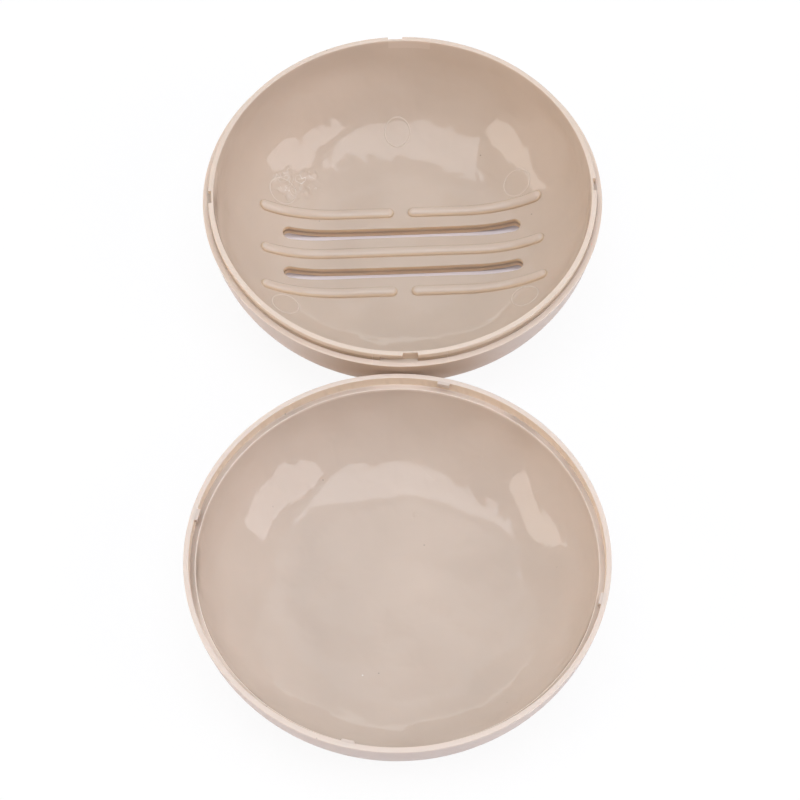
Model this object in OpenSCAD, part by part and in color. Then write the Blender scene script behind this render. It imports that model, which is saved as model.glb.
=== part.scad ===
// Round travel soap box: two moulded shells, lying open side by side.
// The dish has soap ribs, drain slots and a spigot; the lid drops over the spigot
// and locks with a short clockwise twist of its four lugs.

/* [Shells] */
// Outside diameter at the two rims
outer_d = 110; // [104:1:116]
// Height of the dish up to the shoulder that the lid closes on
dish_h = 31; // [30:0.5:32]
// Height of the lid up to its rim
lid_h = 28; // [27.5:0.5:30]
// Thickness of the dish's floor
dish_floor_t = 3.8; // [3.2:0.1:4.2]
// Thickness of the lid's floor
lid_floor_t = 2.6; // [2:0.1:3]
// Angle through which the floor curves up before the tighter corner starts
heel_turn = 33; // [30:1:36]
// Slope of the dish's outer wall from upright, in degrees
dish_draft = 10.5; // [8:0.5:12]
// Straight part of the dish's outer wall under the shoulder
dish_skirt = 6.3; // [5:0.1:7]
// Corner radius outside the dish
dish_corner_r = 28; // [26:0.5:29]
// Slope of the dish's inner wall from upright, in degrees
dish_draft_in = 6; // [4:0.5:8]
// Straight part of the dish's inner wall under the spigot's top
dish_skirt_in = 5.6; // [5:0.1:6.5]
// Corner radius inside the dish
dish_corner_in_r = 26.3; // [25.5:0.1:27]
// Slope of the lid's walls from upright, in degrees
lid_draft = 7.6; // [6:0.1:9]
// Straight part of the lid's outer wall under its rim
lid_skirt = 3; // [2:0.1:4]
// Corner radius outside the lid
lid_corner_r = 30; // [28:0.5:31]
// Straight part of the lid's inner wall under its ledge
lid_skirt_in = 1; // [0.5:0.1:1.5]
// Corner radius inside the lid
lid_corner_in_r = 24.5; // [23:0.5:25]

/* [Rims and bayonet] */
// Thickness of the side wall where the two shells meet
rim_w = 3; // [2.6:0.1:3.6]
// Thickness of the raised spigot on the dish
spigot_t = 1.4; // [1.2:0.1:1.6]
// Height of the spigot above the shoulder
spigot_h = 3; // [2.6:0.1:3.4]
// Gap between the spigot and the lid's rim, per side
fit_gap = 0.2; // [0.1:0.05:0.3]
// Rounding of the rim edges
edge_r = 0.2; // [0.1:0.1:0.4]
// Number of lugs on the lid, and of notches in the spigot
lug_count = 4; // [2:1:6]
// Width of one lug
lug_w = 3.3; // [2:0.1:4]
// Height of one lug, downwards from the lid's rim
lug_h = 1.2; // [0.8:0.1:1.6]
// Play of a lug in its notch and groove
lug_play = 0.35; // [0.2:0.05:0.5]
// Depth of a notch in the spigot's outer side
notch_depth = 0.75; // [0.5:0.05:0.8]
// Turn of the lid from the notch to the lock, in degrees
lock_turn = 6.5; // [4:0.5:10]

/* [Soap ribs and drain slots] */
// Length of a row of soap ribs
rib_len = 80; // [70:1:84]
// Width of a rib between its upright sides
rib_w = 3; // [2.4:0.1:3.4]
// Height of a rib over the floor
rib_h = 1.4; // [1:0.1:1.8]
// Radius of a rib's domed top
rib_dome_r = 1.75; // [1.75:0.05:3]
// Distance between neighbouring rows of ribs
rib_pitch = 13.4; // [11:0.1:14]
// Gap in the middle of the two outer rows
rib_gap = 4.1; // [2:0.1:8]
// Length of a drain slot
slot_len = 67.5; // [50:0.5:70]
// Width of a drain slot in its middle
slot_w_mid = 3.2; // [2.4:0.1:3.6]
// Width of a drain slot near its ends
slot_w_end = 3.9; // [3:0.1:4]

/* [How they lie] */
// Gap between the two rims as they lie open
lay_gap = 0.3; // [0.2:0.1:5]
// Sideways offset between the two shells
lay_shift = 1.8; // [0:0.1:5]
// Turn of the dish about its own axis, in degrees
dish_turn = 2; // [-45:0.5:45]
// Turn of the lid's lugs from the four main directions, in degrees
lug_turn = -13.5; // [-45:0.5:45]

/* [Hidden] */
$fn = 96;
outer_r = outer_d / 2;
inner_r = outer_r - rim_w;
spigot_r = inner_r + spigot_t;
socket_r = spigot_r + fit_gap;
socket_depth = spigot_h + fit_gap;
notch_r = spigot_r - notch_depth;
lug_tip_r = notch_r + fit_gap;
notch_w = lug_w + 2 * lug_play;
groove_h = lug_h + lug_play;
groove_turn = lock_turn + asin(notch_w / 2 / notch_r);
rib_r = rib_w / 2;
// How far a rib reaches into the floor under it
rib_root = 1;
// How much slimmer the round ends of the ribs are, on each side
end_inset = 0.02;
lay_y = sqrt(pow(outer_d + lay_gap, 2) - pow(lay_shift, 2)) / 2;
dish_color = [0.80, 0.72, 0.66];
lid_color = [0.81, 0.74, 0.68];
shell_steps = 10;
slot_steps = 6;
// Turn left out where one arc takes over from another, so that no point comes twice
arc_skip = 2;
// How far a lug reaches into the rim that carries it
lug_root = 0.5;
// How far a cutting body reaches past what it cuts
cut = 1;

// Points along an arc from angle a to angle b
function arc(centre, r, a, b, steps) =
    [for (i = [0:steps]) let (t = a + (b - a) * i / steps) centre + r * [cos(t), sin(t)]];

// A bowl wall is given as a list: the point at its top, its slope, the length of its
// straight skirt, its corner radius and the height of its flat floor.
dish_outer = [[outer_r, dish_h], dish_draft, dish_skirt, dish_corner_r, 0];
dish_inner = [[inner_r, dish_h + spigot_h], dish_draft_in, dish_skirt_in, dish_corner_in_r,
              dish_floor_t];
lid_outer = [[outer_r, lid_h], lid_draft, lid_skirt, lid_corner_r, 0];
lid_inner = [[inner_r, lid_h - socket_depth], lid_draft, lid_skirt_in, lid_corner_in_r,
             lid_floor_t];

// Centre of the corner arc of a bowl wall
function corner_centre(wall) =
    wall[0] - wall[2] * [sin(wall[1]), cos(wall[1])]
    - wall[3] * [cos(wall[1]), -sin(wall[1])];

// Radius of the wide arc between the flat floor and the corner arc
function heel_radius(wall) =
    (corner_centre(wall).y - wall[3] * cos(heel_turn) - wall[4]) / (1 - cos(heel_turn));

// Radius of the flat middle of the floor
function flat_radius(wall) =
    corner_centre(wall).x - (heel_radius(wall) - wall[3]) * sin(heel_turn);

// A bowl wall from the flat floor up to the start of its straight skirt
function bowl_curve(wall) =
    let (heel_r = heel_radius(wall), heel_centre = [flat_radius(wall), wall[4] + heel_r])
    concat(
        arc(heel_centre, heel_r, -90, heel_turn - 90, shell_steps),
        arc(corner_centre(wall), wall[3], heel_turn - 90 + arc_skip, -wall[1], shell_steps + 2));

// The same list of points, from its last to its first
function reversed(points) = [for (i = [len(points) - 1:-1:0]) points[i]];

dish_heel_r = heel_radius(dish_inner);
dish_flat_r = flat_radius(dish_inner);
dish_corner_c = corner_centre(dish_inner);

// Height of the dish's inner surface at a distance from its axis
function dish_floor_z(dist) =
    dist <= dish_flat_r ? dish_floor_t
    : dist <= dish_flat_r + dish_heel_r * sin(heel_turn)
        ? dish_floor_t + dish_heel_r - sqrt(pow(dish_heel_r, 2) - pow(dist - dish_flat_r, 2))
        : dish_corner_c.y - sqrt(pow(dish_corner_in_r, 2) - pow(dist - dish_corner_c.x, 2));

// Wall section of the dish, with its shoulder and its spigot
module dish_section() {
    top = dish_h + spigot_h;
    polygon(concat(
        [[0, 0]],
        bowl_curve(dish_outer),
        arc([outer_r - edge_r, dish_h - edge_r], edge_r, 0, 90, 3),
        [[spigot_r, dish_h]],
        arc([spigot_r - edge_r, top - edge_r], edge_r, 0, 90, 3),
        arc([inner_r + edge_r, top - edge_r], edge_r, 90, 180, 3),
        reversed(bowl_curve(dish_inner)),
        [[0, dish_floor_t]]));
}

// Wall section of the lid, with the socket that the spigot enters
module lid_section() {
    ledge_z = lid_h - socket_depth;
    polygon(concat(
        [[0, 0]],
        bowl_curve(lid_outer),
        arc([outer_r - edge_r, lid_h - edge_r], edge_r, 0, 90, 3),
        arc([socket_r + edge_r, lid_h - edge_r], edge_r, 90, 180, 3),
        [[socket_r, ledge_z]],
        arc([inner_r + edge_r, ledge_z - edge_r], edge_r, 90, 180, 3),
        reversed(bowl_curve(lid_inner)),
        [[0, lid_floor_t]]));
}

// Section of a rib: upright sides, a domed top, and a root inside the floor
module rib_section(inset = 0) {
    intersection() {
        translate([0, rib_h - rib_dome_r]) circle(r = rib_dome_r - inset, $fn = 64);
        translate([inset - rib_r, -rib_root]) square([rib_w - 2 * inset, rib_root + rib_h]);
    }
}

// Round end of a rib, turned about its upright axis and a hair slimmer than the rib
module rib_end() {
    rotate_extrude($fn = 32) intersection() {
        rib_section(end_inset);
        translate([0, -rib_root]) square([rib_r, rib_root + rib_h]);
    }
}

// Rib along +X that follows the floor and curves up with the bowl
module rib_arm(row_y, start_x) {
    end_x = rib_len / 2 - rib_r;
    flat_x = max(start_x + rib_w, sqrt(max(0, pow(dish_flat_r, 2) - pow(row_y, 2))));
    rise = dish_floor_z(norm([end_x, row_y])) - dish_floor_t;
    bend_r = (pow(end_x - flat_x, 2) + pow(rise, 2)) / (2 * rise);
    bend = asin((end_x - flat_x) / bend_r);
    translate([start_x, row_y, dish_floor_t])
        rotate([90, 0, 90]) linear_extrude(flat_x - start_x) rib_section();
    translate([flat_x, row_y, dish_floor_t + bend_r]) rotate([90, 0, 0]) {
        rotate([0, 0, -90]) rotate_extrude(angle = bend)
            translate([bend_r, 0]) rotate(90) rib_section();
        rotate([0, 0, bend - 90]) translate([bend_r, 0]) rotate([0, -90, 0])
            rotate([0, 0, -90]) rib_end();
    }
}

// One row of soap ribs, whole or split by a gap in the middle
module rib_row(row_y, gap) {
    start_x = gap > 0 ? gap / 2 + rib_r : 0;
    for (side = [0, 1]) mirror([side, 0, 0]) {
        rib_arm(row_y, start_x);
        if (gap > 0) translate([start_x, row_y, dish_floor_t]) rib_end();
    }
}

// Drain slot, drawn in a little towards its middle, with round ends
module drain_slot(row_y) {
    end_r = slot_w_end / 2;
    end_x = slot_len / 2 - end_r;
    waist = (slot_w_end - slot_w_mid) / 2;
    side = [for (i = [-slot_steps:slot_steps])
        [end_x * i / slot_steps, end_r - waist * (1 - pow(i / slot_steps, 2))]];
    translate([0, row_y, -cut]) linear_extrude(dish_h) {
        polygon(concat(side, [for (p = reversed(side)) [p.x, -p.y]]));
        for (x = [-end_x, end_x]) translate([x, 0]) circle(r = end_r, $fn = 32);
    }
}

// Entry notch for one lug, and the groove at its foot that the lug turns into
module bayonet_cut() {
    far_r = outer_r + cut;
    difference() {
        translate([0, -notch_w / 2, dish_h]) cube([far_r, notch_w, spigot_h + cut]);
        translate([0, 0, dish_h - cut]) cylinder(r = notch_r, h = spigot_h + 3 * cut);
    }
    translate([0, 0, dish_h]) rotate([0, 0, -groove_turn]) rotate_extrude(angle = groove_turn)
        translate([notch_r, 0]) square([far_r - notch_r, groove_h]);
}

// Lug inside the lid's rim, flush with the rim's top
module lug() {
    difference() {
        translate([0, -lug_w / 2, lid_h - lug_h]) cube([socket_r + lug_root, lug_w, lug_h]);
        translate([0, 0, lid_h - lug_h - cut]) cylinder(r = lug_tip_r, h = lug_h + 2 * cut);
    }
}

module dish() {
    color(dish_color) translate([lay_shift / 2, lay_y, 0]) rotate([0, 0, dish_turn]) {
        difference() {
            rotate_extrude() dish_section();
            for (row_y = [-0.5, 0.5] * rib_pitch) drain_slot(row_y);
            for (i = [0:lug_count - 1]) rotate([0, 0, i * 360 / lug_count]) bayonet_cut();
        }
        rib_row(0, 0);
        for (row_y = [-1, 1] * rib_pitch) rib_row(row_y, rib_gap);
    }
}

module lid() {
    color(lid_color) translate([-lay_shift / 2, -lay_y, 0]) rotate([0, 0, lug_turn]) {
        rotate_extrude() lid_section();
        for (i = [0:lug_count - 1]) rotate([0, 0, i * 360 / lug_count]) lug();
    }
}

dish();
lid();
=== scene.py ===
import math

import bmesh
import bpy
import numpy as np
from mathutils import Matrix, Vector


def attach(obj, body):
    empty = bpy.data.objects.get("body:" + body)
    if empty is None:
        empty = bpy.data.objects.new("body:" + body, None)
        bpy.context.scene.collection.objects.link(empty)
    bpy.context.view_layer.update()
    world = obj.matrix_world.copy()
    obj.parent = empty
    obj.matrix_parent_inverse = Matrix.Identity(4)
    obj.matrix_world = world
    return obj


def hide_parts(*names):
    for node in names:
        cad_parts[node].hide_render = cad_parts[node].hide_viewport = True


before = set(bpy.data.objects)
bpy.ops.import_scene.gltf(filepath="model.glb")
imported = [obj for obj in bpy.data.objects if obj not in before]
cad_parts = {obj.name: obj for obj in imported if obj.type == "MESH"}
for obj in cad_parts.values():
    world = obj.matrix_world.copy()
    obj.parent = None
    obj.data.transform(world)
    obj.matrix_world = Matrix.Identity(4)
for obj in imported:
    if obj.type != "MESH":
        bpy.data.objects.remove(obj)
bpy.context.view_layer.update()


# The camera stands in front of the open box and looks down on it at 59 degrees, as the photograph does.
# Its place, tilt and lens were worked out from the ellipses of the two rims.
camera = bpy.data.objects.new("camera", bpy.data.cameras.new("camera"))
camera.data.lens = 129.9
camera.data.sensor_width = 36
camera_tilt = math.radians(31.093)
camera_roll = math.radians(-0.268)
camera.matrix_world = (
    Matrix.Translation((-0.00004, -0.40358, 0.68323))
    @ Matrix.Rotation(camera_tilt, 4, "X")
    @ Matrix.Rotation(camera_roll, 4, "Z")
)
bpy.context.scene.collection.objects.link(camera)
bpy.context.scene.camera = camera
bpy.context.scene.view_settings.view_transform = "Standard"


# The table is a plain matt white sheet, far larger than the box. The camera sees it nearly pure white and
# fully white far off. It still takes the soft shadow round the shells. Below their floors, where only the two
# drain slots show it, it is painted greyer: a painted shade.
class Wire:
    """A socket of a node tree. Arithmetic on it adds Math nodes, and node() adds any other node."""

    def __init__(self, tree, socket=None):
        self.tree, self.socket = tree, socket

    def node(self, kind, settings=None, sockets=None, out=0):
        made = self.tree.nodes.new(kind)
        for name, value in (settings or {}).items():
            if name == "stops":
                ramp = made.color_ramp
                while len(ramp.elements) < len(value):
                    ramp.elements.new(0.5)
                for element, (place, colour) in zip(ramp.elements, value):
                    element.position, element.color = place, colour
            else:
                setattr(made, name, value)
        for name, value in (sockets or {}).items():
            if isinstance(value, Wire):
                self.tree.links.new(value.socket, made.inputs[name])
            else:
                made.inputs[name].default_value = value
        return Wire(self.tree, made.outputs[out]) if made.outputs else None

    def maths(self, operation, *values):
        return self.node("ShaderNodeMath", {"operation": operation}, dict(enumerate(values)))

    def __add__(self, other):
        return self.maths("ADD", self, other)

    def __radd__(self, other):
        return self.maths("ADD", other, self)

    def __sub__(self, other):
        return self.maths("SUBTRACT", self, other)

    def __rsub__(self, other):
        return self.maths("SUBTRACT", other, self)

    def __mul__(self, other):
        return self.maths("MULTIPLY", self, other)

    def __rmul__(self, other):
        return self.maths("MULTIPLY", other, self)

    def __truediv__(self, other):
        return self.maths("DIVIDE", self, other)

    def __rtruediv__(self, other):
        return self.maths("DIVIDE", other, self)

    def __pow__(self, other):
        return self.maths("POWER", self, other)


def new_material(name):
    """An empty material and the start of its node tree."""
    material = bpy.data.materials.new(name)
    material.use_nodes = True
    material.node_tree.nodes.clear()
    return material, Wire(material.node_tree)


table_half = 3.0
near_glow = 0.90
shell_spots = ((0.0009, 0.055143, 0.0), (-0.0009, -0.055143, 0.0))
hidden_r, open_r = 0.036, 0.041
fade_start, fade_end = 0.16, 0.35
white, sheet_white, under_shell_painted_shade = (1.0, 1.0, 1.0, 1.0), (0.93, 0.92, 0.95, 1.0), (0.76, 0.70, 0.72, 1.0)
table_mesh = bpy.data.meshes.new("table")
table_mesh.from_pydata(
    [(x * table_half, y * table_half, 0.0) for x, y in ((-1, -1), (1, -1), (1, 1), (-1, 1))],
    [], [(0, 1, 2, 3)])
table = bpy.data.objects.new("table", table_mesh)
bpy.context.scene.collection.objects.link(table)
table_paint, graph = new_material("table_white")
place = graph.node("ShaderNodeTexCoord", None, None, "Object")
in_open = None
for spot in shell_spots:
    away = graph.node("ShaderNodeVectorMath", {"operation": "DISTANCE"}, {0: place, 1: spot}, "Value")
    clear = graph.node("ShaderNodeMapRange", None, {"Value": away, "From Min": hidden_r, "From Max": open_r})
    in_open = clear if in_open is None else graph.maths("MINIMUM", in_open, clear)
away = graph.node("ShaderNodeVectorMath", {"operation": "LENGTH"}, {0: place}, "Value")
distant = graph.node("ShaderNodeMapRange", None, {
    "Value": away, "From Min": fade_start, "From Max": fade_end})
seen = graph.node("ShaderNodeLightPath", None, None, "Is Camera Ray")
# Below the shells the sheet's colour is a painted shade, greyer than the open table.
sheet = graph.node("ShaderNodeMix", {"data_type": "RGBA"}, {0: in_open, 6: under_shell_painted_shade, 7: sheet_white}, 2)
matt = graph.node("ShaderNodeBsdfDiffuse", None, {"Color": sheet})
glow = graph.node("ShaderNodeEmission", None, {"Color": white, "Strength": 1.0})
mixed = graph.node("ShaderNodeMixShader", None, {
    0: seen * graph.maths("MAXIMUM", in_open * near_glow, distant), 1: matt, 2: glow})
graph.node("ShaderNodeOutputMaterial", None, {"Surface": mixed})
table_mesh.materials.append(table_paint)


# Light comes from a soft box on each side, a panel overhead and a wide pale ceiling, with a bright
# backdrop behind the box. A weak fill from the front keeps the walls that face the camera warm.
def soft_box(name, place, width, height, power, colour):
    """A rectangular lamp at place that faces the middle of the table."""
    lamp = bpy.data.lights.new(name, "AREA")
    lamp.shape, lamp.size, lamp.size_y, lamp.energy, lamp.color = "RECTANGLE", width, height, power, colour
    holder = bpy.data.objects.new(name, lamp)
    holder.location = place
    holder.rotation_euler = (-Vector(place)).to_track_quat("-Z", "Y").to_euler()
    bpy.context.scene.collection.objects.link(holder)


room_light = 0.02
soft_box("right_box", (0.95, -0.33, 0.60), 0.85, 0.80, 7.5, (0.99, 0.97, 1.0))
soft_box("left_box", (-1.05, -0.22, 0.42), 0.80, 0.75, 7.0, (1.0, 0.92, 0.85))
soft_box("top_panel", (-0.05, -0.25, 1.25), 1.25, 0.80, 9.3, (0.93, 0.95, 1.0))
soft_box("back_window", (0.0, 1.15, 1.05), 2.2, 1.4, 6.4, (0.89, 0.93, 0.94))
soft_box("back_low", (0.0, 1.5, 0.35), 2.2, 0.6, 6.6, (1.0, 0.95, 0.90))
soft_box("front_fill", (-0.2, -1.3, 0.35), 2.4, 0.6, 1.1, (1.0, 0.90, 0.82))
soft_box("ceiling", (0.0, 0.3, 2.6), 3.0, 3.0, 20.0, (0.64, 0.80, 0.93))
world = bpy.data.worlds.new("pale_room")
bpy.context.scene.world = world
world.use_nodes = True
world.node_tree.nodes.clear()
graph = Wire(world.node_tree)
seen = graph.node("ShaderNodeLightPath", None, None, "Is Camera Ray")
room = graph.node("ShaderNodeBackground", None, {"Color": (0.93, 0.95, 1.0, 1.0), "Strength": room_light})
sky = graph.node("ShaderNodeBackground", None, {"Color": white, "Strength": 1.0})
graph.node("ShaderNodeOutputWorld", None,
           {"Surface": graph.node("ShaderNodeMixShader", None, {0: seen, 1: room, 2: sky})})


# The dish is one injection-moulded shell of warm beige plastic, polished inside and satin outside.
# Its floor carries three rows of domed soap ribs and two drain slots, and its rim a stepped
# spigot with four notches, each with a short groove at its foot that the lid's lugs turn into.
MM = 0.001
heel_turn = math.radians(33)
outer_r, inner_r, edge_r = 55.0, 52.0, 0.2
dish_shoulder, dish_top = 31.0, 34.0
dish_centre, dish_turn = (0.9, 55.143), math.radians(2)
sharp_turn = math.radians(40)


def bowl(rim_r, rim_z, slope, skirt, corner_r, bottom):
    """A bowl's section: a flat middle, a wide heel, a tighter corner and a straight skirt up to the rim."""
    slope = math.radians(slope)
    skirt_r, skirt_z = rim_r - skirt * math.sin(slope), rim_z - skirt * math.cos(slope)
    corner_x = skirt_r - corner_r * math.cos(slope)
    corner_z = skirt_z + corner_r * math.sin(slope)
    heel_r = (corner_z - corner_r * math.cos(heel_turn) - bottom) / (1 - math.cos(heel_turn))
    flat_r = corner_x - (heel_r - corner_r) * math.sin(heel_turn)
    return {"flat": flat_r, "heel": heel_r, "x": corner_x, "z": corner_z, "corner": corner_r,
            "bottom": bottom, "slope": slope, "skirt": (skirt_r, skirt_z), "rim": (rim_r, rim_z)}


def bowl_height(form, r):
    """Height of the bowl's surface at the distance r from its axis."""
    on_heel = form["flat"] + form["heel"] * math.sin(heel_turn)
    run = np.clip(r - form["flat"], 0, form["heel"])
    heel = form["bottom"] + form["heel"] - np.sqrt(form["heel"] ** 2 - run ** 2)
    reach = np.clip(r - form["x"], 0, form["corner"])
    return np.where(r <= on_heel, heel, form["z"] - np.sqrt(form["corner"] ** 2 - reach ** 2))


def bowl_slope(form, r):
    """Rise of the bowl's surface per millimetre outwards."""
    step = 0.01
    return (bowl_height(form, r + step) - bowl_height(form, r - step)) / (2 * step)


def arc(centre, r, start, end, steps):
    """Points on an arc, from the angle start to the angle end, in degrees."""
    turn = np.radians(np.linspace(start, end, steps + 1))
    return [(centre[0] + r * math.cos(a), centre[1] + r * math.sin(a)) for a in turn]


def wall_up(form, from_r, steps):
    """Points up a bowl's corner from the distance from_r to the start of its skirt."""
    start = -math.degrees(math.acos((from_r - form["x"]) / form["corner"]))
    return arc((form["x"], form["z"]), form["corner"], start, -math.degrees(form["slope"]), steps)


def on_skirt(form, steps):
    """Points on a bowl's straight skirt, at the given parts of the way up it."""
    (low_r, low_z), (rim_r, rim_z) = form["skirt"], form["rim"]
    return [(low_r + (rim_r - low_r) * t, low_z + (rim_z - low_z) * t) for t in steps]


def bowl_line(form, flat_steps=12, heel_steps=16, corner_steps=22):
    """Section points from the axis out over the floor and up the corner to the start of the skirt."""
    turn = math.degrees(heel_turn)
    run = [(form["flat"] * t, form["bottom"]) for t in np.linspace(0, 1, flat_steps)]
    run += arc((form["flat"], form["bottom"] + form["heel"]), form["heel"], -90, turn - 90, heel_steps)[1:]
    return run + wall_up(form, run[-1][0], corner_steps)[1:]


inside = bowl(inner_r, dish_top, slope=6.0, skirt=5.6, corner_r=26.3, bottom=3.8)
outside = bowl(outer_r, dish_shoulder, slope=10.5, skirt=6.3, corner_r=28.0, bottom=0.0)

rib_r, rib_end, rib_h, dome_r, gap_half = 1.5, 38.5, 1.4, 1.75, 2.05
slot_end, slot_half, slot_waist, slot_edge = 31.8, 1.95, 0.35, 0.2
field_x, field_y, side_steps = 42.5, 16.4, 6

# The middle of the floor is a grid of five rows: ribs in rows -2, 0 and 2, and slots in rows -1 and 1
row_step = 6.7
row_lines = [-field_y, -1.5 * row_step, -0.5 * row_step, 0.5 * row_step, 1.5 * row_step, field_y]
stations, station_steps = [0, gap_half + rib_r, slot_end, rib_end, field_x], (4, 30, 8, 5)
half_x = np.concatenate([np.linspace(a, b, n, endpoint=False)
                         for a, b, n in zip(stations, stations[1:], station_steps)])
grid_x = np.concatenate([-np.append(half_x, field_x)[:0:-1], half_x, [field_x]])
patches = []


def lift(form, plan, drop=0.0, normal=0.0):
    """Puts plan points on a bowl's surface, then lowers them or moves them off along its normal."""
    r = np.hypot(plan[..., 0], plan[..., 1])
    slope = bowl_slope(form, r) / np.maximum(r, 1e-6)
    out = np.stack([-slope * plan[..., 0], -slope * plan[..., 1], np.ones_like(r)], -1)
    out /= np.linalg.norm(out, axis=-1, keepdims=True)
    points = np.concatenate([plan, (bowl_height(form, r) - drop)[..., None]], -1)
    return points + normal * out


def cell(x_lo, x_hi, y_lo, y_hi, cap_lo, cap_hi):
    """The edge of a rectangle of the floor, and for each of its points the matching centre and bearing on a
    long feature with round ends inside it."""
    xs = grid_x[(grid_x > x_lo - 1e-6) & (grid_x < x_hi + 1e-6)]
    ys = np.linspace(y_lo, y_hi, side_steps + 1)
    edge = np.array([(x, y_lo) for x in xs[:-1]] + [(x_hi, y) for y in ys[:-1]]
                    + [(x, y_hi) for x in xs[:0:-1]] + [(x_lo, y) for y in ys[:0:-1]])
    bearing = np.where(np.arange(len(edge)) < len(xs) + side_steps - 1, -90.0, 90.0)
    right = np.flatnonzero(edge[:, 0] > cap_hi + 1e-6)
    left = np.flatnonzero(edge[:, 0] < cap_lo - 1e-6)
    left = np.concatenate([left[left > len(edge) / 2], left[left <= len(edge) / 2]])
    bearing[right] = -90 + 180 * np.arange(1, len(right) + 1) / (len(right) + 1)
    bearing[left] = 90 + 180 * np.arange(1, len(left) + 1) / (len(left) + 1)
    return edge, np.clip(edge[:, 0], cap_lo, cap_hi), np.radians(bearing)


def loop_at(centre_x, row_y, bearing, half_width):
    """A closed loop round a long feature, half_width away from its centre line."""
    return np.stack([centre_x + half_width * np.cos(bearing), row_y + half_width * np.sin(bearing)], -1)


def approach(edge, loop, steps=5):
    """Loops that lead from the edge of a cell to the first loop of its feature."""
    return [edge + (loop - edge) * i / steps for i in range(steps)]


# Ribs: upright sides with a hair of fillet at the foot, and a domed top closed along the centre line
side_turn = math.degrees(math.acos(rib_r / dome_r))
side_top = rib_h - dome_r + dome_r * math.sin(math.radians(side_turn))
rib_foot = ((0.12, 0.0), (0.04, 0.03), (0.0, 0.11))
rib_profile = ([(rib_r + off, up) for off, up in rib_foot] + [(rib_r, side_top * 0.6)]
               + arc((0, rib_h - dome_r), dome_r, side_turn, 90, 8))
for row in (-2, 0, 2):
    row_y, (y_lo, y_hi) = row * row_step, row_lines[row + 2:row + 4]
    split = row != 0
    for x_lo, x_hi in (((-field_x, 0.0), (0.0, field_x)) if split else ((-field_x, field_x),)):
        cap_lo = gap_half + rib_r if x_lo == 0 else -rib_end
        cap_hi = -gap_half - rib_r if x_hi == 0 else rib_end
        edge, centre_x, bearing = cell(x_lo, x_hi, y_lo, y_hi, cap_lo, cap_hi)
        foot = loop_at(centre_x, row_y, bearing, rib_profile[0][0])
        loops = [lift(inside, p) for p in approach(edge, foot)]
        loops += [lift(inside, loop_at(centre_x, row_y, bearing, d), normal=h) for d, h in rib_profile]
        patches.append((np.array(loops), True))
    ys = np.linspace(y_lo, y_hi, side_steps + 1)
    patches.append((lift(outside, np.stack(np.meshgrid(grid_x, ys), -1)), False))

# Slots: through the floor with eased edges, a little narrower in the middle than near the ends
ease = [(slot_edge * (1 - math.sin(a)), slot_edge * (1 - math.cos(a)))
        for a in np.radians((0, 30, 60, 90))]
for row in (-1, 1):
    row_y, (y_lo, y_hi) = row * row_step, row_lines[row + 2:row + 4]
    edge, centre_x, bearing = cell(-field_x, field_x, y_lo, y_hi, -slot_end, slot_end)
    half = slot_half - slot_waist * (1 - (centre_x / slot_end) ** 2)
    sides = []
    for form, sign, size in ((inside, 1, 1.0), (outside, -1, 2.0)):
        brink = loop_at(centre_x, row_y, bearing, half + size * slot_edge)
        sides.append(
            [lift(form, p) for p in approach(edge, brink)]
            + [lift(form, loop_at(centre_x, row_y, bearing, half + size * off), drop=sign * size * down)
               for off, down in ease])
    middle = [sides[0][-1] + (sides[1][-1] - sides[0][-1]) * t for t in (0.33, 0.67)]
    patches.append((np.array(sides[0] + middle + sides[1][::-1]), True))

# Bowl: rings that lead from the rectangle of ribs and slots to a circle on the wall
circle_r, join_r, ring_steps = 48.5, 49.0, 34
side_y = np.concatenate([np.linspace(a, b, side_steps, endpoint=False)
                         for a, b in zip(row_lines, row_lines[1:])])
corner_turn = math.atan2(field_y, field_x)
span = math.pi - 2 * corner_turn
field_edge = np.array(
    [(field_x, y) for y in side_y] + [(x, field_y) for x in grid_x[:0:-1]]
    + [(-field_x, -y) for y in side_y] + [(x, -field_y) for x in grid_x[:-1]])
edge_turn = np.array(
    [corner_turn * y / field_y for y in side_y]
    + [corner_turn + span * (field_x - x) / (2 * field_x) for x in grid_x[:0:-1]]
    + [math.pi + corner_turn * y / field_y for y in side_y]
    + [math.pi + corner_turn + span * (x + field_x) / (2 * field_x) for x in grid_x[:-1]])
circle = circle_r * np.stack([np.cos(edge_turn), np.sin(edge_turn)], -1)
for form in (inside, outside):
    plans = [field_edge + (circle - field_edge) * math.sin(math.pi / 2 * i / ring_steps)
             for i in range(ring_steps + 1)]
    patches.append((np.array([lift(form, p) for p in plans]), True))

# Rim: one section at each bearing, which is plain, or has a mould seam, a groove or a notch
spigot_r, notch_r, groove_top, notch_w, lock_turn = 53.4, 52.65, 32.55, 4.0, 6.5
notch_half = math.degrees(math.asin(notch_w / 2 / notch_r))
groove_turn = lock_turn + notch_half
seam_depth, seam_turn, seam_half, column_inset = 0.09, 10.8, 0.15, 0.06


def spigot_side(kind):
    """The spigot's outer side from its top to the shoulder, its corners eased by a hair. Each kind has the
    same number of points."""
    wall = {"notch": notch_r, "seam": spigot_r - seam_depth}.get(kind, spigot_r)
    foot, lip, root = (notch_r, 0.05, 0.08) if kind == "groove" else (wall, 0.0, 0.0)
    return (arc((wall - edge_r, dish_top - edge_r), edge_r, 90, 0, 4)
            + [(wall, groove_top + 0.06), (wall - lip, groove_top),
               (foot + root, groove_top), (foot, groove_top - 0.08),
               (foot, dish_shoulder + 0.12), (foot + 0.04, dish_shoulder + 0.03),
               (foot + 0.15, dish_shoulder), (spigot_r + 0.4, dish_shoulder)])


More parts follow.
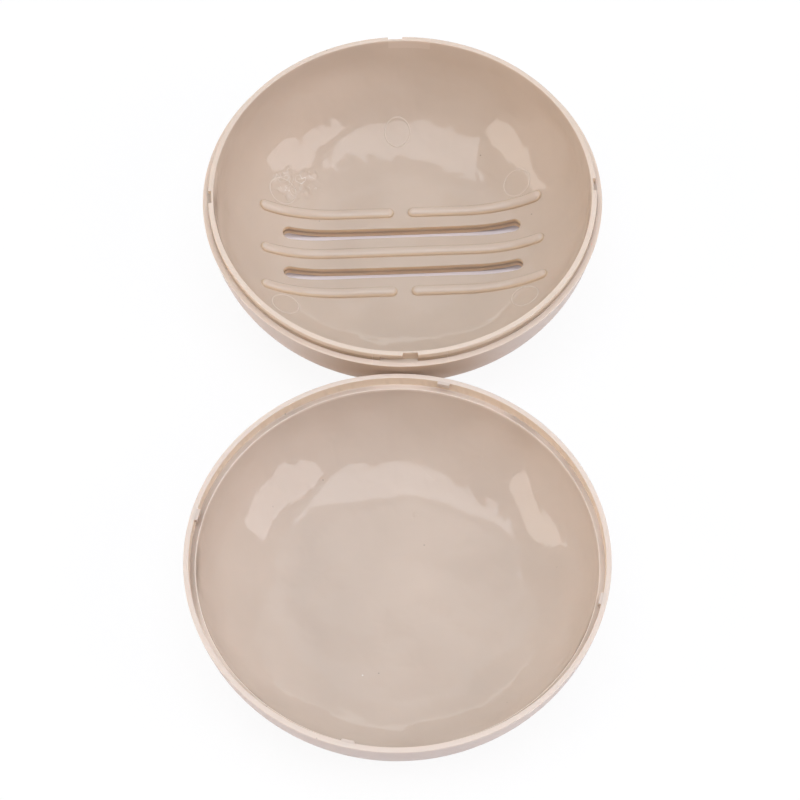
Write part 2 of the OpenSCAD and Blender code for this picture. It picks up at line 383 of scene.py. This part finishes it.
def rim_section(kind):
    """The whole rim from the inner wall over the spigot and the shoulder to the outer wall."""
    return np.array(
        wall_up(inside, join_r, 14)
        + on_skirt(inside, (0.2, 0.4, 0.46, 0.5, 0.75, 0.9))
        + arc((inner_r + edge_r, dish_top - edge_r), edge_r, 180, 90, 4)
        + spigot_side(kind)
        + arc((outer_r - edge_r, dish_shoulder - edge_r), edge_r, 90, 0, 4)
        + on_skirt(outside, (0.9, 0.6, 0.3))
        + wall_up(outside, join_r, 18)[::-1])


# In each quarter: the kind of section, its first and last bearing, and how many sections it has
columns = []
for quarter in range(4):
    start = quarter * 90
    for kind, a, b, n in (
            ("plain", notch_half, seam_turn - seam_half, 9), ("seam", seam_turn, seam_turn, 1),
            ("plain", seam_turn + seam_half, 90 - seam_turn - seam_half, 55),
            ("seam", 90 - seam_turn, 90 - seam_turn, 1),
            ("plain", 90 - seam_turn + seam_half, 90 - groove_turn, 3),
            ("groove", 90 - groove_turn, 90 - notch_half, 7), ("notch", 90 - notch_half, 90 + notch_half, 5)):
        inset = 0.0 if kind == "seam" else column_inset
        columns += [(kind, start + t) for t in np.linspace(a + inset, b - inset, n)]
sections = {kind: rim_section(kind) for kind in ("plain", "seam", "groove", "notch")}
rim_turn = np.radians([t for _, t in columns])
rim_grid = np.array([[(r * math.cos(t), r * math.sin(t), z) for r, z in sections[kind]]
                     for (kind, _), t in zip(columns, rim_turn)]).transpose(1, 0, 2)
patches.append((rim_grid, True))


def zip_rings(ring_a, turn_a, ring_b, turn_b):
    """Triangles between two closed rings whose points don't match."""
    faces, i, j = [], 0, 0
    shift = turn_a[0] - turn_b
    turn_b = turn_b + math.tau * np.round(shift / math.tau)
    order = np.argsort(turn_b)
    turn_b, ring_b = turn_b[order], np.array(ring_b)[order]
    first = np.searchsorted(turn_b, turn_a[0])
    turn_b = np.concatenate([turn_b[first:], turn_b[:first] + math.tau])
    ring_b = np.concatenate([ring_b[first:], ring_b[:first]])
    turn_a = np.append(turn_a, turn_a[0] + math.tau)
    turn_b = np.append(turn_b, turn_b[0] + math.tau)
    ring_a, ring_b = np.append(ring_a, ring_a[0]), np.append(ring_b, ring_b[0])
    while i < len(ring_a) - 1 or j < len(ring_b) - 1:
        if j == len(ring_b) - 1 or (i < len(ring_a) - 1 and turn_a[i + 1] <= turn_b[j + 1]):
            faces.append((ring_a[i], ring_b[j], ring_a[i + 1]))
            i += 1
        else:
            faces.append((ring_a[i], ring_b[j], ring_b[j + 1]))
            j += 1
    return faces


points, faces, starts = [], [], []
for grid, closed in patches:
    rows, cols = grid.shape[:2]
    base = sum(len(p) for p in points)
    starts.append(base)
    points.append(grid.reshape(-1, 3))
    index = base + np.arange(rows * cols).reshape(rows, cols)
    after = np.roll(index, -1, 1) if closed else index[:, 1:]
    here = index if closed else index[:, :-1]
    faces += np.stack([here[:-1], after[:-1], after[1:], here[1:]], -1).reshape(-1, 4).tolist()
ring_count, rim_count = len(circle), len(columns)
last_ring = ring_steps * ring_count
rim_start = starts[-1]
for bowl_start, rim_row in ((starts[-3], 0), (starts[-2], rim_grid.shape[0] - 1)):
    faces += zip_rings(bowl_start + last_ring + np.arange(ring_count), edge_turn,
                       rim_start + rim_row * rim_count + np.arange(rim_count), rim_turn)
points = np.concatenate(points)


def shell_object(name, points, faces, turn, centre):
    """A closed smooth object from points in millimetres, turned and set in its place."""
    cos, sin = math.cos(turn), math.sin(turn)
    placed = np.stack([points[:, 0] * cos - points[:, 1] * sin + centre[0],
                       points[:, 0] * sin + points[:, 1] * cos + centre[1], points[:, 2]], -1) * MM
    mesh = bpy.data.meshes.new(name)
    mesh.from_pydata(placed.tolist(), [], [list(map(int, f)) for f in faces])
    work = bmesh.new()
    work.from_mesh(mesh)
    bmesh.ops.remove_doubles(work, verts=work.verts, dist=1.5e-6)
    bmesh.ops.dissolve_degenerate(work, edges=work.edges, dist=1e-7)
    bmesh.ops.recalc_face_normals(work, faces=work.faces)
    work.to_mesh(mesh)
    work.free()
    mesh.shade_smooth()
    mesh.set_sharp_from_angle(angle=sharp_turn)
    made = bpy.data.objects.new(name, mesh)
    bpy.context.scene.collection.objects.link(made)
    return made


def off_line(r, z, line):
    """Distance of each point of a section from a line of points."""
    line = np.array(line)
    start, way = line[:-1], np.diff(line, axis=0)
    spots = np.stack([r, z], -1)[:, None]
    t = np.clip(((spots - start) * way).sum(-1) / (way ** 2).sum(-1), 0, 1)
    return np.linalg.norm(spots - (start + t[..., None] * way), axis=-1).min(1)


def store(mesh, label, value):
    """Keeps a number for each point of a mesh, under a name that its material reads."""
    mesh.attributes.new(label, "FLOAT", "POINT").data.foreach_set("value", value.astype(np.float32))


def find_zones(mesh, centre, inner, outer, rim_edges):
    """Stores how polished each point is, 1 on the inner bowl and 0 on the outer one. Returns the points'
    plan offsets from the centre, distances from the axis, heights, and nearness to the rim's edges."""
    co = np.zeros(len(mesh.vertices) * 3)
    mesh.vertices.foreach_get("co", co)
    co = co.reshape(-1, 3) / MM
    plan, z = co[:, :2] - centre, co[:, 2]
    r = np.hypot(plan[:, 0], plan[:, 1])
    inner_gap, outer_gap = [off_line(r, z, bowl_line(form, corner_steps=24) + [form["rim"]])
                            for form in (inner, outer)]
    blend, edge_w = 0.4, 0.5
    store(mesh, "gloss", np.clip((outer_gap - inner_gap) / blend + 0.5, 0, 1))
    near = np.min([np.hypot(r - a, z - b) for a, b in rim_edges], axis=0)
    return plan, r, z, np.clip(1.3 - near / edge_w, 0, 1)


# Zones: the rim edges, rib tops, the shoulder and the mould seams are painted paler, a painted highlight
# where light catches them. Light that shines through the thin wall behind the notches is painted in as a pale
# glow, and a painted warm glow stands for the light that warms the slots' walls, the ribs' sides and the
# spigot's outer side.
dish = shell_object("dish_shell", points, faces, dish_turn, dish_centre)
plan, far, height, crest = find_zones(
    dish.data, dish_centre, inside, outside,
    [(inner_r, dish_top), (spigot_r, dish_top), (outer_r, dish_shoulder)])
bearing = np.degrees(np.arctan2(plan[:, 1], plan[:, 0]) - dish_turn)
off_groove = np.abs((bearing + groove_turn / 2 + 45) % 90 - 45)
off_notch = np.abs((bearing + 45) % 90 - 45)
above = height - bowl_height(inside, far)
in_field = far < field_x
thin = (off_groove < groove_turn / 2 + notch_half) & (far < inner_r + 0.05) & (height > dish_shoulder)
on_seam = (np.abs(off_notch - seam_turn) < 0.04) & (far > inner_r + 0.1) & (height > dish_shoulder - 0.5)
on_shoulder = (far > spigot_r + 0.3) & (np.abs(height - dish_shoulder) < 0.25)
on_spigot = ((far > notch_r - 0.1) & (far < spigot_r + 0.2)
             & (height > dish_shoulder + 0.05) & (height < dish_top - 0.1))
in_slot = in_field & (height > bowl_height(outside, far) + 0.01) & (above < -0.16)
rib_side = in_field & (above > 0.02) & (above < 1.0)
rib_top = in_field & (above >= 1.0)
# Painted highlight: the rim edges, rib tops, shoulder and seams are painted paler.
store(dish.data, "crest", np.max([crest, rib_top * 0.35, on_shoulder * 0.6, on_seam * 1.2], axis=0))
# Painted glow: the thin wall behind each notch is painted paler for the light that shines through it.
store(dish.data, "thin", thin)
# Painted warm glow on the slots' walls, the ribs' sides and the spigot's outer side, for light through the
# plastic.
store(dish.data, "core", in_slot + rib_side * 0.45 + on_spigot * 0.32)

pin_count, pin_circle, pin_r, ridge_r = 6, 38.5, 3.62, 0.24
first_pin = dish_turn + math.radians(30)
pin_spots = [((dish_centre[0] + pin_circle * math.cos(turn)) * MM,
              (dish_centre[1] + pin_circle * math.sin(turn)) * MM,
              float(bowl_height(inside, pin_circle)) * MM)
             for turn in (first_pin + k * math.tau / pin_count for k in range(pin_count))]


def beige_plastic(name, colour, scuffs, pins=(), painted_shade_strength=0.0):
    """Warm beige moulded plastic: polished and a little wavy inside, fine satin outside, with specks,
    hairline scratches and rubbed patches. scuffs are (x, y, z, size), and pins are the pin marks' centres.
    The last argument sets a painted shade: how brown the outer wall turns where it faces the other shell."""
    material, graph = new_material(name)
    place = graph.node("ShaderNodeTexCoord", None, None, "Object")
    normal = graph.node("ShaderNodeNewGeometry", None, None, "Normal")
    upward = graph.node("ShaderNodeSeparateXYZ", None, {0: normal}, "Z")
    level = graph.maths("ABSOLUTE", upward)
    gloss, crest, thin, core = [graph.node("ShaderNodeAttribute", {"attribute_name": label}, None, "Fac")
                                for label in ("gloss", "crest", "thin", "core")]

    def noise(scale, detail, roughness=0.5, distortion=0.0):
        return graph.node("ShaderNodeTexNoise", None, {
            "Vector": place, "Scale": scale, "Detail": detail, "Roughness": roughness,
            "Distortion": distortion})

    def cells(scale, **settings):
        return graph.node("ShaderNodeTexVoronoi", {"voronoi_dimensions": "2D", **settings},
                          {"Vector": place, "Scale": scale})

    def ramp(value, low, high, to_low=0.0, to_high=1.0):
        return graph.node("ShaderNodeMapRange", {"interpolation_type": "SMOOTHSTEP"}, {
            "Value": value, "From Min": low, "From Max": high, "To Min": to_low, "To Max": to_high})

    def fall(value, low, high):
        return ramp(value, low, high, 1.0, 0.0)

    def away_from(spot):
        return graph.node("ShaderNodeVectorMath", {"operation": "DISTANCE"}, {0: place, 1: spot}, "Value")

    def times(red, green, blue):
        return colour[0] * red, colour[1] * green, colour[2] * blue

    def tinted(factor, base, other):
        return graph.node("ShaderNodeMix", {"data_type": "RGBA"}, {0: factor, 6: base, 7: (*other, 1)}, 2)

    cloud, grain = noise(38.0, 3.0), noise(2600.0, 2.0)
    swell, ripple = noise(60.0, 0.0, 0.5, 0.4), noise(190.0, 1.0, 0.5, 0.3)

    # Specks: one in five cells of a random pattern holds a dot, and half of the dots are pale
    speck_r, speck_fade, speck_share, pale_share = 0.016, 0.026, 0.80, 0.90
    dots = cells(105.0)
    pick = Wire(dots.tree, dots.socket.node.outputs["Color"])
    speck = (fall(dots, speck_r, speck_fade) * graph.maths("GREATER_THAN", pick, speck_share)
             * ramp(level, 0.75, 0.85))
    pale = graph.maths("GREATER_THAN", pick, pale_share)

    # Hairline scratches: straight cell borders, kept only where a slow noise is high
    scratch_half = 0.0045
    kept = ramp(noise(33.0, 1.0), 0.60, 0.66) * gloss * ramp(level, 0.4, 0.6)
    scratch = fall(cells(62.0, feature="DISTANCE_TO_EDGE"), 0.0, scratch_half) * kept

    # Rubbed patches: the surface is dented round each given point, with a few pale lines that are painted
    # glints, for the bright streaks along the dents
    ragged = 0.006
    glint_streaks, dents = noise(210.0, 1.0, 0.5, 1.2), noise(130.0, 1.0, 0.5, 0.8)
    rubbed = None
    for *spot, size in scuffs:
        gap = away_from(tuple(spot)) + (noise(300.0, 2.0) - 0.5) * ragged
        patch = fall(gap, size * 0.5, size) * gloss
        rubbed = patch if rubbed is None else graph.maths("MAXIMUM", rubbed, patch)
    painted_glints = rubbed * fall(graph.maths("ABSOLUTE", glint_streaks - 0.5), 0.003, 0.012) * ramp(dents, 0.47, 0.54)

    # Relief in metres. Inside each ring the pin's end left the bowl a little flatter than it is around it.
    swell_h, ripple_h, grain_h, scratch_h, dent_h = 0.0017, 0.00018, 0.0000036, 0.00001, 0.0022
    relief = (gloss * (swell * swell_h + ripple * ripple_h) + grain * (1 - gloss) * grain_h
              - scratch * scratch_h + rubbed * (dents - 0.5) * dent_h)
    mark_r, mark_edge, mark_flatness = 0.0036, 0.0003, 10.0
    for spot in pins:
        gap = away_from(spot)
        relief = relief + fall(gap, mark_r - mark_edge, mark_r) * (mark_r ** 2 - gap * gap) * mark_flatness

    # Colour: clouded base, then the zones, which are mostly painted light, then the marks of use, among them
    # painted glints
    shade = graph.node("ShaderNodeValToRGB", {"stops": [
        (0.3, (*times(0.965, 0.965, 0.965), 1)), (0.7, (*times(1.03, 1.03, 1.03), 1))]}, {"Fac": cloud})
    # The satin outside is painted paler and cooler: a painted sheen, for the light it scatters and takes from
    # the table.
    shade = tinted((1 - gloss) * 0.6, shade, times(1.06, 1.10, 1.18))
    # Painted highlight on the edges, rib tops, seams, ledge and pin rings, and a painted glow behind the
    # notches. Scratches turn paler too.
    shade = tinted(crest * 0.8 + thin * 0.35 + scratch * 0.25, shade, times(1.22, 1.27, 1.33))
    # A painted warm glow, for light through the plastic, lightens and warms the slots, rib sides, spigot and
    # socket.
    shade = tinted(core * 0.9, shade, times(1.34, 1.24, 0.98))
    # Painted shade: the outer wall is painted brown where it faces the other shell, for the warm shade
    # between the shells.
    if painted_shade_strength:
        between = (0.0, 0.0, 0.020)
        facing = fall(away_from(between), 0.012, 0.038) * (1 - gloss) * fall(upward, 0.0, 0.4)
        shade = tinted(facing * painted_shade_strength, shade, times(0.95, 0.80, 0.60))
    shade = tinted(speck * 0.55 * (1 - pale), shade, times(0.45, 0.45, 0.45))
    # Pale specks, and painted glints: pale lines along the dents of the rubbed patches.
    shade = tinted(speck * 0.6 * pale + painted_glints * 0.5, shade, (0.9, 0.88, 0.86))

    satin_rough, polish = 0.36, 0.32
    rough = (satin_rough - gloss * polish + (grain - 0.5) * 0.02 + (cloud - 0.5) * 0.03
             + scratch * 0.15 + rubbed * 0.04)
    bump = graph.node("ShaderNodeBump", None, {"Height": relief, "Strength": 1.0, "Distance": 1.0})
    surface = graph.node("ShaderNodeBsdfPrincipled", None, {
        "Base Color": shade, "Roughness": rough, "IOR": 1.5, "Specular IOR Level": 0.32, "Normal": bump,
        "Subsurface Weight": 0.08, "Subsurface Radius": (1.0, 0.6, 0.4), "Subsurface Scale": 0.002})
    graph.node("ShaderNodeOutputMaterial", None, {"Surface": surface})
    return material


# The dish's outer wall takes the painted brown shade where the lid faces it.
dish_colour, dish_painted_shade = (0.600, 0.475, 0.382), 0.7
dish_scuffs = [(-0.0305, 0.0745, 0.0100, 0.0060), (-0.0255, 0.0770, 0.0090, 0.0050)]
dish.data.materials.append(
    beige_plastic("dish_beige_plastic", dish_colour, dish_scuffs, pin_spots, dish_painted_shade))
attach(dish, "dish")
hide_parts("dish")


# The pins that pushed the dish out of its mould left six rings on the bowl, where the flat end of each
# pin met the steel around it. Each is a hairline ridge, round in plan, that follows the bowl's curve.
def new_tree(name, inputs):
    """A geometry node tree with its named inputs, and the wires that leave its Group Input."""
    tree = bpy.data.node_groups.new(name, "GeometryNodeTree")
    tree.interface.new_socket("Geometry", in_out="OUTPUT", socket_type="NodeSocketGeometry")
    for label, kind in inputs:
        tree.interface.new_socket(label, in_out="INPUT", socket_type=kind)
    graph = Wire(tree)
    source = tree.nodes.new("NodeGroupInput")
    return tree, graph, {label: Wire(tree, source.outputs[label]) for label, _ in inputs}


def run_tree(seed_mesh, name, tree, values):
    """Applies a node tree to a mesh and returns the result as a plain object."""
    holder = bpy.data.objects.new(name, seed_mesh)
    bpy.context.scene.collection.objects.link(holder)
    modifier = holder.modifiers.new("form", "NODES")
    modifier.node_group = tree
    for item in tree.interface.items_tree:
        if item.in_out == "INPUT" and item.name in values:
            modifier[item.identifier] = values[item.name]
    graph_view = bpy.context.evaluated_depsgraph_get()
    mesh = bpy.data.meshes.new_from_object(holder.evaluated_get(graph_view), depsgraph=graph_view)
    bpy.data.objects.remove(holder)
    mesh.name = name
    if mesh.materials and mesh.materials[0] is None:
        mesh.materials.pop(index=0)
    made = bpy.data.objects.new(name, mesh)
    bpy.context.scene.collection.objects.link(made)
    return made


tree, graph, given = new_tree("ejector_pin_rings", [
    ("Pins", "NodeSocketInt"), ("Pin Circle", "NodeSocketFloat"), ("Pin Radius", "NodeSocketFloat"),
    ("Ridge Radius", "NodeSocketFloat"), ("First Pin", "NodeSocketFloat"),
    ("Floor Height", "NodeSocketFloat"), ("Flat Radius", "NodeSocketFloat"),
    ("Heel Radius", "NodeSocketFloat"), ("Heel Edge", "NodeSocketFloat"),
    ("Corner Offset", "NodeSocketFloat"), ("Corner Height", "NodeSocketFloat"),
    ("Corner Radius", "NodeSocketFloat"), ("Centre", "NodeSocketVector"), ("Plastic", "NodeSocketMaterial")])
ring_facets, wire_facets = 72, 8
ring = graph.node("GeometryNodeCurvePrimitiveCircle", None, {
    "Resolution": ring_facets, "Radius": given["Pin Radius"]})
wire = graph.node("GeometryNodeCurvePrimitiveCircle", None, {
    "Resolution": wire_facets, "Radius": given["Ridge Radius"]})
ring = graph.node("GeometryNodeCurveToMesh", None, {"Curve": ring, "Profile Curve": wire})
pins = graph.node("GeometryNodeMeshCircle", None, {"Vertices": given["Pins"], "Radius": given["Pin Circle"]})
rings = graph.node("GeometryNodeInstanceOnPoints", None, {"Points": pins, "Instance": ring})
rings = graph.node("GeometryNodeTransform", None, {
    "Geometry": rings, "Rotation": graph.node("ShaderNodeCombineXYZ", None, {"Z": given["First Pin"]})})
rings = graph.node("GeometryNodeRealizeInstances", None, {"Geometry": rings})
spot = graph.node("GeometryNodeInputPosition")
flat = graph.node("ShaderNodeVectorMath", {"operation": "MULTIPLY"}, {0: spot, 1: (1.0, 1.0, 0.0)})
away = graph.node("ShaderNodeVectorMath", {"operation": "LENGTH"}, {0: flat}, "Value")
run = graph.maths("MAXIMUM", away - given["Flat Radius"], 0.0)
heel = given["Floor Height"] + given["Heel Radius"] - (given["Heel Radius"] ** 2 - run ** 2) ** 0.5
reach = away - given["Corner Offset"]
inner = graph.maths("MAXIMUM", given["Corner Radius"] ** 2 - reach ** 2, 0.0)
corner = given["Corner Height"] - inner ** 0.5
past = graph.maths("GREATER_THAN", away, given["Heel Edge"])
drop = graph.node("ShaderNodeCombineXYZ", None, {"Z": heel + (corner - heel) * past})
rings = graph.node("GeometryNodeSetPosition", None, {"Geometry": rings, "Offset": drop})
rings = graph.node("GeometryNodeTransform", None, {"Geometry": rings, "Translation": given["Centre"]})
rings = graph.node("GeometryNodeSetMaterial", None, {"Geometry": rings, "Material": given["Plastic"]})
graph.node("NodeGroupOutput", None, {"Geometry": rings})
sink = ridge_r * 0.35
pin_rings = run_tree(bpy.data.meshes.new("pin_seed"), "pin_rings", tree, {
    "Pins": pin_count, "Pin Circle": pin_circle * MM, "Pin Radius": pin_r * MM,
    "Ridge Radius": ridge_r * MM, "First Pin": first_pin, "Floor Height": (inside["bottom"] - sink) * MM,
    "Flat Radius": inside["flat"] * MM, "Heel Radius": inside["heel"] * MM,
    "Heel Edge": (inside["flat"] + inside["heel"] * math.sin(heel_turn)) * MM,
    "Corner Offset": inside["x"] * MM, "Corner Height": (inside["z"] - sink) * MM,
    "Corner Radius": inside["corner"] * MM, "Centre": (dish_centre[0] * MM, dish_centre[1] * MM, 0.0),
    "Plastic": dish.data.materials[0]})
pin_rings.data.shade_smooth()
# The rings' ridges are painted paler, a painted highlight where light catches them.
for label, value in (("gloss", 1.0), ("crest", 0.8)):
    store(pin_rings.data, label, np.full(len(pin_rings.data.vertices), value))
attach(pin_rings, "dish")


# The lid is the second moulded shell, the top of the closed box. Its rim has a socket that drops over
# the dish's spigot, and four small lugs flush with the rim's top that pass down through the notches.
lid_top, socket_r, socket_depth = 28.0, 53.6, 3.2
lid_centre, lid_turn = (-0.9, -55.143), math.radians(-13.5)
ledge_z = lid_top - socket_depth
lid_inside = bowl(inner_r, ledge_z, slope=7.6, skirt=1.0, corner_r=24.5, bottom=2.6)
lid_outside = bowl(outer_r, lid_top, slope=7.6, skirt=3.0, corner_r=30.0, bottom=0.0)
lug_count, lug_w, lug_h, lug_tip_r, lug_back_r = 4, 3.3, 1.2, 52.85, socket_r + 0.6
lug_sink, lug_corner, bearings = 0.03, 0.2, 360
lid_section = (
    bowl_line(lid_inside)
    + arc((inner_r + edge_r, ledge_z - edge_r), edge_r, 180, 90, 4)
    + [(socket_r - 0.12, ledge_z), (socket_r - 0.03, ledge_z + 0.03), (socket_r, ledge_z + 0.12)]
    + arc((socket_r + edge_r, lid_top - edge_r), edge_r, 180, 90, 4)
    + arc((outer_r - edge_r, lid_top - edge_r), edge_r, 90, 0, 4)
    + on_skirt(lid_outside, (0.7, 0.35))
    + bowl_line(lid_outside)[::-1])

tree, graph, given = new_tree("turned_lid", [
    ("Section", "NodeSocketGeometry"), ("Bearings", "NodeSocketInt"), ("Section Points", "NodeSocketInt"),
    ("Lugs", "NodeSocketInt"), ("Lug Width", "NodeSocketFloat"), ("Lug Depth", "NodeSocketFloat"),
    ("Lug Height", "NodeSocketFloat"), ("Lug Corner", "NodeSocketFloat"), ("Lug Circle", "NodeSocketFloat"),
    ("Rim Height", "NodeSocketFloat"), ("Lug Turn", "NodeSocketFloat"), ("Centre", "NodeSocketVector"),
    ("Plastic", "NodeSocketMaterial")])
sheet = graph.node("GeometryNodeMeshGrid", None, {
    "Vertices X": given["Bearings"] + 1, "Vertices Y": given["Section Points"]})
index = graph.node("GeometryNodeInputIndex")
column = graph.maths("FLOOR", index / given["Section Points"])
row = index - column * given["Section Points"]
spot = graph.node("GeometryNodeInputPosition")
taken = graph.node("GeometryNodeSampleIndex", {"data_type": "FLOAT_VECTOR"},
                   {"Geometry": given["Section"], "Value": spot, "Index": row})
radius = graph.node("ShaderNodeSeparateXYZ", None, {0: taken})
rise = Wire(tree, radius.socket.node.outputs["Z"])
bearing = column * math.tau / given["Bearings"]
turned = graph.node("ShaderNodeCombineXYZ", None, {
    "X": radius * graph.maths("COSINE", bearing), "Y": radius * graph.maths("SINE", bearing), "Z": rise})
shell = graph.node("GeometryNodeSetPosition", None, {"Geometry": sheet, "Position": turned})
shell = graph.node("GeometryNodeMergeByDistance", None, {"Geometry": shell, "Distance": 1e-6})

block = graph.node("GeometryNodeCurvePrimitiveQuadrilateral", None, {
    "Width": given["Lug Depth"], "Height": given["Lug Width"]})
block = graph.node("GeometryNodeFilletCurve", None, {"Curve": block, "Radius": given["Lug Corner"]})
block = graph.node("GeometryNodeFillCurve", None, {"Curve": block})
upper = graph.node("GeometryNodeExtrudeMesh", None, {
    "Mesh": block, "Offset Scale": given["Lug Height"], "Individual": False})
lower = graph.node("GeometryNodeFlipFaces", None, {"Mesh": block})
lug = graph.node("GeometryNodeJoinGeometry", None, {"Geometry": upper})
tree.links.new(lower.socket, lug.socket.node.inputs[0])
lug = graph.node("GeometryNodeMergeByDistance", None, {"Geometry": lug, "Distance": 1e-6})
stops = graph.node("GeometryNodeMeshCircle", None, {
    "Vertices": given["Lugs"], "Radius": given["Lug Circle"]})
stops = graph.node("GeometryNodeTransform", None, {
    "Geometry": stops, "Translation": graph.node("ShaderNodeCombineXYZ", None, {
        "Z": given["Rim Height"] - given["Lug Height"]})})
facing = index * math.tau / given["Lugs"]
lugs = graph.node("GeometryNodeInstanceOnPoints", None, {
    "Points": stops, "Instance": lug, "Rotation": graph.node("ShaderNodeCombineXYZ", None, {"Z": facing})})
both = graph.node("GeometryNodeJoinGeometry", None, {"Geometry": shell})
tree.links.new(lugs.socket, both.socket.node.inputs[0])
both = graph.node("GeometryNodeTransform", None, {
    "Geometry": both, "Translation": given["Centre"],
    "Rotation": graph.node("ShaderNodeCombineXYZ", None, {"Z": given["Lug Turn"]})})
both = graph.node("GeometryNodeRealizeInstances", None, {"Geometry": both})
both = graph.node("GeometryNodeSetMaterial", None, {"Geometry": both, "Material": given["Plastic"]})
graph.node("NodeGroupOutput", None, {"Geometry": both})

section_mesh = bpy.data.meshes.new("lid_section")
section_mesh.from_pydata([(r * MM, 0, z * MM) for r, z in lid_section], [], [])
lid_colour, lid_scuffs = (0.605, 0.488, 0.405), [(0.004, -0.030, 0.0060, 0.0035)]
lid = run_tree(section_mesh, "lid_shell", tree, {
    "Bearings": bearings, "Section Points": len(lid_section), "Lugs": lug_count, "Lug Width": lug_w * MM,
    "Lug Depth": (lug_back_r - lug_tip_r) * MM, "Lug Height": lug_h * MM, "Lug Corner": lug_corner * MM,
    "Lug Circle": (lug_back_r + lug_tip_r) / 2 * MM, "Rim Height": (lid_top - lug_sink) * MM,
    "Lug Turn": lid_turn, "Centre": (lid_centre[0] * MM, lid_centre[1] * MM, 0.0),
    "Plastic": beige_plastic("lid_beige_plastic", lid_colour, lid_scuffs)})
work = bmesh.new()
work.from_mesh(lid.data)
bmesh.ops.recalc_face_normals(work, faces=work.faces)
work.to_mesh(lid.data)
work.free()
lid.data.shade_smooth()
lid.data.set_sharp_from_angle(angle=sharp_turn)
plan, far, height, crest = find_zones(
    lid.data, lid_centre, lid_inside, lid_outside,
    [(inner_r, ledge_z), (socket_r, lid_top), (outer_r, lid_top)])
# Painted light: the ledge is painted paler against the shade it lies in, and the socket wall gets a painted
# warm glow.
on_ledge = (far > inner_r) & (far < socket_r) & (np.abs(height - ledge_z) < 0.25)
in_socket = (np.abs(far - socket_r) < 0.1) & (height > ledge_z - 0.1) & (height < lid_top - 0.1)
store(lid.data, "crest", np.maximum(crest, on_ledge * 1.25))
store(lid.data, "core", in_socket * 0.5)
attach(lid, "lid")
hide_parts("lid")
